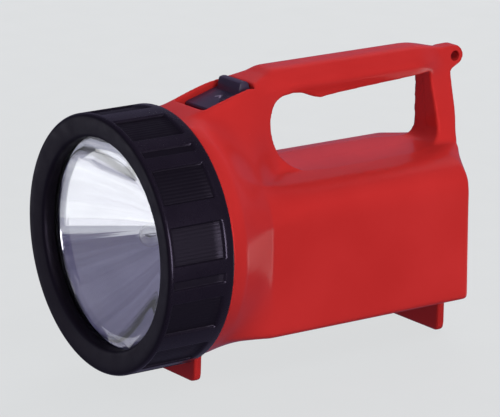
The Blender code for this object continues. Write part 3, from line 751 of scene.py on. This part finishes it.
def soften(item, rounds):
    """Ease every edge of a remeshed solid: each vertex moves to the middle of its neighbours."""
    mesh = item.data
    count = len(mesh.vertices)
    co = np.empty(count * 3)
    mesh.vertices.foreach_get("co", co)
    co = co.reshape(-1, 3)
    edges = np.empty(len(mesh.edges) * 2, dtype=np.int64)
    mesh.edges.foreach_get("vertices", edges)
    edges = edges.reshape(-1, 2)
    degree = np.bincount(edges.ravel(), minlength=count)[:, None]
    for _ in range(rounds):
        total = np.zeros_like(co)
        for axis in range(3):
            total[:, axis] = (np.bincount(edges[:, 0], co[edges[:, 1], axis], count)
                              + np.bincount(edges[:, 1], co[edges[:, 0], axis], count))
        co = 0.5 * co + 0.5 * total / degree
    mesh.vertices.foreach_set("co", co.ravel())
    mesh.update()


def housing_outside():
    """Closed outer skin: body, collar, neck, ear and feet, with the hand opening cut through."""
    neck = round_outline(KEYS[-1][1], NECK_RADIUS, FAR_STATION)
    sections = [full_section(neck, NECK_FRONT), full_section(neck, COLLAR_START)]
    sections += [full_section(outline_at(s), s) for s in housing_stations()]
    body = new_object("housing_body", loft("housing_body", sections))
    ear = arc(EAR_CENTRE, EAR_RADIUS, -45, 90, 14)
    ear += [(196.0, 69.6), (194.0, 60.0), (199.0, 56.0), (202.2, 57.4)]
    combine(body, prism("ear", ear, -EAR_THICKNESS / 2, EAR_THICKNESS / 2), "UNION")
    combine(body, foot("front_foot", FRONT_FOOT, -54.5), "UNION")
    combine(body, foot("rear_foot", REAR_FOOT, BODY_BOTTOM + 1.2), "UNION")
    opening = rounded_loop(handle_opening())
    combine(body, prism("opening", opening, -60.0, 60.0), "DIFFERENCE")
    trough = block("trough", (-TROUGH_HALF_WIDTH, TROUGH_FRONT, -TROUGH_DEPTH),
                   (TROUGH_HALF_WIDTH, TROUGH_REAR, 12.0), ramp_matrix())
    return combine(body, trough, "DIFFERENCE")


def eased(body):
    """Remesh the solid finely, ease its edges and thin it out again."""
    remesh = body.modifiers.new("remesh", "REMESH")
    remesh.mode = "VOXEL"
    remesh.voxel_size = VOXEL * MM
    applied(body)
    soften(body, SOFT_ROUNDS)
    thin = body.modifiers.new("thin", "DECIMATE")
    thin.ratio = KEPT_FACES
    return applied(body)


def hollowed(body):
    """Cut the lamp bore, battery bay, switch space and lead channel, and leave the bay's ribs."""
    bore = [(0.0, 10.0), (NECK_BORE, 10.0), (NECK_BORE, 47.0), (40.0, 63.0), (0.0, 63.0)]
    below = (TROUGH_DEPTH + FLOOR_THICKNESS) / math.cos(RAMP_SLOPE)
    front, rear, floor = 52.0, 83.5, 20.0
    hollow = [(front, floor), (front, ramp_height(front) - below)]
    hollow += [(rear, ramp_height(rear) - below), (rear, floor)]
    channel = [(82.0, 63.2), (92.0, 64.0), (180.0, 64.0), (184.0, 66.0)]
    channel += [(184.0, 69.6), (92.0, 70.0), (82.0, 64.6)]
    hole = [(EAR_CENTRE[0] + EAR_HOLE_RADIUS * math.cos(a),
             EAR_CENTRE[1] + EAR_HOLE_RADIUS * math.sin(a))
            for a in np.linspace(0, math.tau, 33)[:-1]]
    combine(body, spun("bore", bore, 128, closed=False), "DIFFERENCE")
    combine(body, battery_bay(), "DIFFERENCE")
    for rib in battery_ribs():
        combine(body, rib, "UNION")
    for name, outline, reach in (("hollow", hollow, 9.3), ("channel", channel, 7.4),
                                 ("hole", hole, 12.0)):
        combine(body, prism(name, outline, -reach, reach), "DIFFERENCE")
    slot = block("slot", (-3.2, 12.3, -TROUGH_DEPTH - FLOOR_THICKNESS - 2.0), (3.2, 26.7, 0.0),
                 ramp_matrix())
    return combine(body, slot, "DIFFERENCE")


def housing():
    """Both moulded halves, parted along the centre seam."""
    body = hollowed(eased(housing_outside()))
    for name, side in (("housing_left", 1), ("housing_right", -1)):
        half = new_object(name + "_shell", body.data.copy(), red)
        low, high = sorted((side * SEAM, -side * 90.0))
        combine(half, block("side", (low, -20.0, -90.0), (high, 240.0, 90.0)), "DIFFERENCE")
        painted(half, red)
        shade(half, 48.0)
        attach(half, "housing")
        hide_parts(name)
    bpy.data.objects.remove(body, do_unlink=True)


# Ring ------------------------------------------------------------------------------------------

def grip_depth(angle):
    """How far the grip band lies under the ring's full radius at an angle about the axis."""
    def step(edge):
        return smoothstep(away, edge - WALL_BLEND, edge + WALL_BLEND)

    half = PAIR_SPACING / 2
    away = abs((math.degrees(angle) - PAIR_ANGLE + half) % PAIR_SPACING - half)
    groove = 1.0 - step(GROOVE_HALF_ANGLE)
    recess = step(RECESS_START) * (1.0 - step(RECESS_END))
    depth = GROOVE_DEPTH * groove + RECESS_DEPTH * recess
    if recess > 0.99 and RIB_START < away < RIB_END:
        wave = 0.5 + 0.5 * math.cos(math.tau * math.radians(away - RIB_START) / RIB_PITCH)
        depth -= RIB_HEIGHT * wave
    return depth


def bezel():
    """Screw-on ring: flat front face, short funnel, and a grip band of pads with ribs between."""
    outline = arc((RING_RADIUS - FRONT_ROUND, FRONT_ROUND), FRONT_ROUND, -90, -8, 8)
    band_start = len(outline)
    band = [2.1, 2.6, 3.1, 3.6, 5.0, 9.0, 13.0, 17.0, 21.0, 25.0, 29.4, 29.9, 30.3, 30.8]
    outline += [(RING_RADIUS, s) for s in band]
    band_end = len(outline)
    outline += [(RING_RADIUS, 31.6), (RING_RADIUS, 34.4), (RING_RADIUS - 0.25, 35.1)]
    outline += [(RING_RADIUS - 0.9, RING_LENGTH), (RING_BORE + 0.5, RING_LENGTH), (RING_BORE, 35.0)]
    outline += [(RING_BORE, 24.0), (RING_BORE, 7.9), (RING_BORE - 0.2, 7.7)]
    outline += [(50.8, 7.7), (LIP_RADIUS, 7.4), (50.45, 3.2), (50.7, 2.2), (51.3, 1.6)]
    outline += [(52.3, 1.3), (54.5, 0.9), (57.0, 0.4), (59.0, 0.08)]

    def shape(angle, index, radius):
        if not band_start <= index < band_end:
            return radius
        s = band[index - band_start]
        along = smoothstep(s, GRIP_FRONT - 0.45, GRIP_FRONT + 0.6)
        along *= 1 - smoothstep(s, GRIP_REAR - 0.7, GRIP_REAR + 0.7)
        return radius - grip_depth(angle) * along

    ring = new_object("grip_ring", spun("grip_ring", outline, RING_SIDES, shape), grip_material())
    shade(ring, 60.0)
    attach(ring, "bezel")
    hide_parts("bezel_ring")


# Lamp unit -------------------------------------------------------------------------------------

def bowl_station(radius):
    vertex = BOWL_REAR + BOWL_TUBE ** 2 / (4 * BOWL_FOCUS)
    return vertex - radius ** 2 / (4 * BOWL_FOCUS)


def tube(name, path, radius, material, sides=10):
    """A round wire through points in the lamp frame, with flat ends."""
    at = [Vector(p) for p in path]
    sections = []
    normal = None
    for i, point in enumerate(at):
        ahead = (at[min(i + 1, len(at) - 1)] - at[max(i - 1, 0)]).normalized()
        if normal is None:
            normal = ahead.orthogonal().normalized()
        normal = (normal - ahead * normal.dot(ahead)).normalized()
        side = ahead.cross(normal)
        sections.append([point + radius * (math.cos(a) * normal + math.sin(a) * side)
                         for a in (math.tau * k / sides for k in range(sides))])
    return shade(new_object(name, loft(name, sections), material))


def spring(name, centre, base, tip, start, end, turns, wire, body, node):
    """Conical coil spring, from its base radius at one station to its tip radius at another."""
    path = []
    count = int(turns * COIL_STEPS)
    for i in range(count + 1):
        t = i / count
        radius = base + (tip - base) * t
        angle = math.tau * turns * t
        path.append((centre[0] + radius * math.cos(angle), start + (end - start) * t,
                     centre[1] + radius * math.sin(angle)))
    item = tube(name, path, wire / 2, steel)
    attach(item, body)
    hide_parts(node)


def lamp_piece(name, mesh, material, node, angle=50.0):
    item = shade(new_object(name, mesh, material), angle)
    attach(item, "lamp_unit")
    if node:
        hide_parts(node)
    return item


def lens_and_gasket():
    edge, front, back = LENS_RADIUS, LENS_FRONT, LENS_BACK
    lens = [(0.0, front), (20.0, front), (40.0, front), (edge - 0.6, front)]
    lens += [(edge - 0.15, front + 0.15), (edge, front + 0.6), (edge, back - 0.6)]
    lens += [(edge - 0.15, back - 0.15), (edge - 0.6, back), (40.0, back), (20.0, back)]
    lens.append((0.0, back))
    lamp_piece("lens_disc", spun("lens_disc", lens, LAMP_SIDES, closed=False), clear, "lens")
    gasket = [(51.2, 10.9), (51.4, 10.7), (edge - 0.2, 10.7), (edge, 10.9), (edge, 11.8)]
    gasket += [(edge - 0.2, 12.0), (51.4, 12.0), (51.2, 11.8)]
    lamp_piece("gasket", spun("gasket", gasket, 192), rubber, "lens_gasket")


def reflector():
    """Silvered parabolic bowl with a flange at its mouth and a tube behind it."""
    radii = [BOWL_MOUTH - (BOWL_MOUTH - BOWL_TUBE) * i / BOWL_STEPS for i in range(BOWL_STEPS + 1)]
    bowl = [(LENS_RADIUS, 12.3), (LENS_RADIUS, 13.9), (BOWL_MOUTH + 1.4, 13.9)]
    bowl += [(r + SHELL * 0.6, bowl_station(r) + SHELL * 0.9) for r in radii[2:-1]]
    bowl += [(BOWL_TUBE + SHELL, BOWL_REAR + 0.6), (BOWL_TUBE + SHELL, BOWL_TUBE_END)]
    bowl.append((BOWL_TUBE, BOWL_TUBE_END))
    bowl += [(r, bowl_station(r)) for r in reversed(radii[1:])]
    bowl += [(BOWL_MOUTH, max(bowl_station(BOWL_MOUTH), 12.5)), (BOWL_MOUTH + 0.5, 12.3)]
    lamp_piece("reflector_bowl", spun("reflector_bowl", bowl, LAMP_SIDES), silver, "reflector",
               40.0)


def bulb():
    """Glass envelope, coiled filament on two posts, and the flanged cap with its tip."""
    def globe(radius, degrees):
        return [(radius * math.sin(math.radians(a)),
                 BULB_CENTRE - radius * math.cos(math.radians(a))) for a in degrees]

    envelope = [(0.0, BULB_CENTRE - BULB_RADIUS)] + globe(BULB_RADIUS, range(10, 141, 10))
    envelope += [(3.9, 36.6), (3.9, 41.2), (3.3, 41.2), (3.3, 36.2)]
    envelope += globe(BULB_BORE, range(140, 9, -10)) + [(0.0, BULB_CENTRE - BULB_BORE)]
    lamp_piece("bulb_envelope", spun("bulb_envelope", envelope, 64, closed=False), glass,
               "bulb_glass", 60.0)
    coil = [(FILAMENT_REACH - 2 * FILAMENT_REACH * i / FILAMENT_STEPS,
             29.6 + 0.42 * math.sin(i * 0.9), 0.42 * math.cos(i * 0.9))
            for i in range(FILAMENT_STEPS + 1)]
    wires = [tube("filament", coil, 0.11, tungsten, 6)]
    for suffix, side in (("a", 1), ("b", -1)):
        post = [(side * FILAMENT_REACH, 29.5, 0.2), (side * 1.9, 34.0, 0.1)]
        post += [(side * 1.2, 38.5, 0.0), (side * 1.2, 41.4, 0.0)]
        wires.append(tube("filament_post_" + suffix, post, 0.2, tungsten, 8))
    for wire in wires:
        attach(wire, "lamp_unit")
    cap = [(0.0, 41.5), (7.2, 41.5), (7.4, 41.7), (7.4, 42.5), (7.2, 42.7), (4.75, 42.7)]
    cap += [(4.6, 42.9), (4.6, 51.5), (2.0, 52.6), (2.0, 54.0), (1.6, 54.4), (0.0, 54.4)]
    lamp_piece("bulb_cap", spun("bulb_cap", cap, 96, closed=False), brass, "bulb_base",
               35.0)


# Switch ----------------------------------------------------------------------------------------

def switch():
    """Slider: recessed plate with a raised thumb block, an arrow mark, and the stem under it."""
    frame_matrix = ramp_matrix()
    top = -PLATE_RECESS
    bottom = top - PLATE_THICKNESS
    plate = [(10.6, bottom), (34.9, bottom), (34.9, top), (11.4, top), (10.6, top - 0.8)]
    slider = new_object("slider", prism("slider", plate, -12.0, 12.0, frame_matrix), grey)
    thumb = [(27.4, top - 1.0), (34.5, top - 1.0), (34.5, top + 3.6), (33.9, top + 4.6)]
    thumb += [(32.8, top + 5.1), (31.0, top + 5.4), (30.3, top + 5.2), (29.8, top + 4.5)]
    thumb.append((28.6, top + 2.2))
    stem = block("stem", (-2.8, 18.0, -11.2), (2.8, 26.0, bottom + 1.0), frame_matrix)
    stem_foot = block("stem_foot", (-7.0, 17.0, -12.8), (7.0, 27.0, -10.6), frame_matrix)
    combine(slider, prism("thumb", thumb, -9.0, 9.0, frame_matrix), "UNION")
    combine(slider, stem, "UNION")
    combine(slider, stem_foot, "UNION")
    bevelled(slider, 0.45, 3, 35.0)
    painted(slider, grey)
    shade(slider, 30.0)
    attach(slider, "switch")
    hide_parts("switch_slider")
    arrow = [(0.0, 24.0), (2.3, 21.7), (1.7, 21.1), (0.0, 22.8), (-1.7, 21.1), (-2.3, 21.7)]
    sections = [[frame_matrix @ Vector((x, y, z)) for x, y in arrow]
                for z in (top - 0.3, top + 0.2)]
    mark = new_object("slider_arrow", loft("slider_arrow", sections), mark_grey)
    bevelled(mark, 0.08, 2)
    painted(mark, mark_grey)
    shade(mark)
    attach(mark, "switch")


# Everything else keeps its CAD shape and gets its own finish -----------------------------------

FINISHES = {
    "battery_case": battery_material(), "contact_board": board_material(), "rear_pad": rubber,
    "bulb_holder": white, "holder_nut": white, "switch_carrier": white, "battery_lead": lead_red,
    "contact_rivet": brass, "centre_contact": brass, "corner_contact": brass, "side_contact": brass,
    "fixed_contact_front": brass, "fixed_contact_rear": brass, "switch_bridge": brass,
}


def finish_nodes():
    for name, material in FINISHES.items():
        item = nodes[name]
        for index in range(len(item.material_slots)):
            item.material_slots[index].material = material
        if not item.material_slots:
            raise RuntimeError(name + " has no material slot")


housing()
bezel()
lens_and_gasket()
reflector()
bulb()
switch()
spring("battery_coil_centre", (0.0, -12.05), 11.0, 5.0, 83.0, 72.4, 3.5, 1.3, "housing",
       "battery_spring_centre")
spring("battery_coil_corner", (23.0, 10.95), 6.5, 4.5, 83.0, 72.4, 4.0, 1.2, "housing",
       "battery_spring_corner")
spring("lamp_coil", (0.0, 0.0), 4.4, 2.1, 66.7, 55.3, 5.0, 1.0, "housing", "lamp_spring")
finish_nodes()


# Stage, light and camera -----------------------------------------------------------------------

PAPER = (0.723, 0.737, 0.745)
FLOOR_HALF = 12.0
BACKDROP_RADIUS = 8.0
LIGHT_TARGET = (0.0, 0.0, 0.07)
LENS_CARD = Vector((-0.2294, -0.2545, 0.0))
CARD_COLOUR = (0.97, 0.985, 1.0)
FACET_CARD_HEIGHT = -68.9      # just over the floor, in the lamp frame
WORLD_COLOUR = (0.40, 0.375, 0.60, 1.0)
WORLD_STRENGTH = 0.36
CAMERA_BACK = Vector((0.7953, -0.5466, 0.2622))
CAMERA_RIGHT = Vector((0.5664, 0.8241, 0.0))
CAMERA_UP = Vector((-0.2161, 0.1485, 0.9650))
CAMERA_DISTANCE = 1627.3
CAMERA_ASIDE = 71.1
CAMERA_RAISED = 17.05


def emission(name, colour, strength):
    material = bpy.data.materials.new(name)
    material.use_nodes = True
    tree = material.node_tree
    tree.nodes.clear()
    output = tree.nodes.new("ShaderNodeOutputMaterial")
    light = tree.nodes.new("ShaderNodeEmission")
    light.inputs["Color"].default_value = (*colour, 1.0)
    light.inputs["Strength"].default_value = strength
    tree.links.new(light.outputs[0], output.inputs["Surface"])
    return material


def floor_material():
    """Pale paper that also gives off a little even light, so that it stays plain."""
    look = Shader("studio_floor", Roughness=0.9, Specular_IOR_Level=0.1)
    grain = look.ramp(look.noise(40.0, 5.0), 0.3, 0.7, 0.0, 1.0)
    look.colour(look.mix(grain, (0.027, 0.028, 0.029), (0.033, 0.034, 0.035)))
    look.shader.inputs["Emission Color"].default_value = (*PAPER, 1.0)
    look.shader.inputs["Emission Strength"].default_value = 0.935
    look.bump(grain, 0.00002)
    return look.material


def area(name, direction, distance, size, power):
    """A soft box at a distance along a direction from the torch, facing it."""
    light = bpy.data.lights.new(name, "AREA")
    light.shape = "RECTANGLE"
    light.size, light.size_y = size
    light.energy = power
    item = bpy.data.objects.new(name, light)
    bpy.context.scene.collection.objects.link(item)
    away = Vector(direction).normalized()
    item.location = Vector(LIGHT_TARGET) + away * distance
    item.rotation_euler = away.to_track_quat("Z", "Y").to_euler()
    return item


def stage():
    """A wide floor and a round backdrop, both seen by the camera and left out of reflections."""
    corners = [(-1, -1), (1, -1), (1, 1), (-1, 1)]
    sheet = mesh_of("floor", [(x * FLOOR_HALF, y * FLOOR_HALF, 0.0) for x, y in corners],
                    [(0, 1, 2, 3)], lamp=False)
    floor = new_object("floor", sheet, floor_material())
    floor.visible_glossy = False
    floor.visible_diffuse = False
    backdrop = new_object("backdrop", spun("backdrop", [(1.0, -1.0), (1.0, 1.0)], 96, closed=False),
                          emission("backdrop_light", PAPER, 1.0))
    backdrop.data.transform(LAMP_TO_ROW.inverted())
    backdrop.data.transform(Matrix.Rotation(math.pi / 2, 4, "X"))
    backdrop.scale = (BACKDROP_RADIUS, BACKDROP_RADIUS, BACKDROP_RADIUS)
    backdrop.visible_diffuse = False
    backdrop.visible_glossy = False
    backdrop.visible_transmission = False
    backdrop.visible_shadow = False
    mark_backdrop(floor, backdrop)


def card(name, outline, strength):
    """Small glowing panel that the flat lens mirrors: (along, height) on an upright plane."""
    along = Vector((-0.566, 0.824, 0.0))
    points = [LENS_CARD + along * a * MM + Vector((0.0, 0.0, h * MM)) for a, h in outline]
    mesh = bpy.data.meshes.new(name)
    mesh.from_pydata([tuple(p) for p in points], [], [tuple(range(len(points)))])
    item = new_object(name, mesh, emission(name + "_light", CARD_COLOUR, strength))
    item.visible_camera = False
    return item


def soft_boxes():
    back = area("softbox_back", (-0.62, 0.55, 0.66), 1.5, (1.1, 0.8), 24.0)
    top = area("softbox_top", (0.62, 0.05, 0.78), 1.5, (0.7, 0.7), 9.5)
    front = area("softbox_front", (0.25, -0.95, 0.15), 1.6, (0.7, 0.7), 4.5)
    for light in (back, top, front):
        light.visible_glossy = False
    front.visible_transmission = False
    area("softbox_side", (0.92, -0.06, 0.04), 1.7, (0.9, 0.9), 27.0)


def cards():
    """A low panel behind the torch for the body's facet, and three small ones for the lens."""
    outline = [(-60, 290), (62, 208), (260, 420), (-60, 420)]
    low = mesh_of("facet_card", [(x, s, FACET_CARD_HEIGHT) for x, s in outline], [(0, 1, 2, 3)])
    facet_card = new_object("facet_card", low, emission("facet_card_light", PAPER, 2.0))
    facet_card.visible_camera = False
    facet_card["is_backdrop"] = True
    lower = [(-22, 0), (50, 0), (50, 56), (30, 42), (18.3, 32.6), (-5.1, 22.4), (-22, 15)]
    middle = [(30, 45), (18.3, 36), (-5.1, 24.8), (-22, 17), (-22, 24), (4.1, 39), (20.4, 48.5)]
    middle.append((24, 52))
    upper = [(-22, 26.4), (4.1, 41.6), (20.4, 51.2), (23, 56), (-22, 56)]
    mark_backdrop(card("card_lower", lower, 3.2), card("card_middle", middle, 2.9),
             card("card_upper", upper, 3.2))


def surroundings():
    world = bpy.data.worlds.new("studio")
    world.use_nodes = True
    background = world.node_tree.nodes["Background"]
    background.inputs["Color"].default_value = WORLD_COLOUR
    background.inputs["Strength"].default_value = WORLD_STRENGTH
    bpy.context.scene.world = world


def camera():
    """Long lens, a little above the torch and in front of its left side."""
    data = bpy.data.cameras.new("camera")
    data.lens = 252.0
    data.sensor_width = 36.0
    data.clip_start = 0.05
    item = bpy.data.objects.new("camera", data)
    bpy.context.scene.collection.objects.link(item)
    rotation = Matrix((CAMERA_RIGHT, CAMERA_UP, CAMERA_BACK)).transposed().to_4x4()
    offset = (CAMERA_BACK * CAMERA_DISTANCE + CAMERA_RIGHT * CAMERA_ASIDE
              + CAMERA_UP * CAMERA_RAISED) * MM
    item.matrix_world = Matrix.Translation(place(0, 0, 0) + offset) @ rotation
    bpy.context.scene.camera = item


stage()
soft_boxes()
cards()
surroundings()
camera()
bpy.context.scene.view_settings.view_transform = "Standard"

sizes = [[list(corner) for corner in box] for box in (cad_box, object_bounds())]
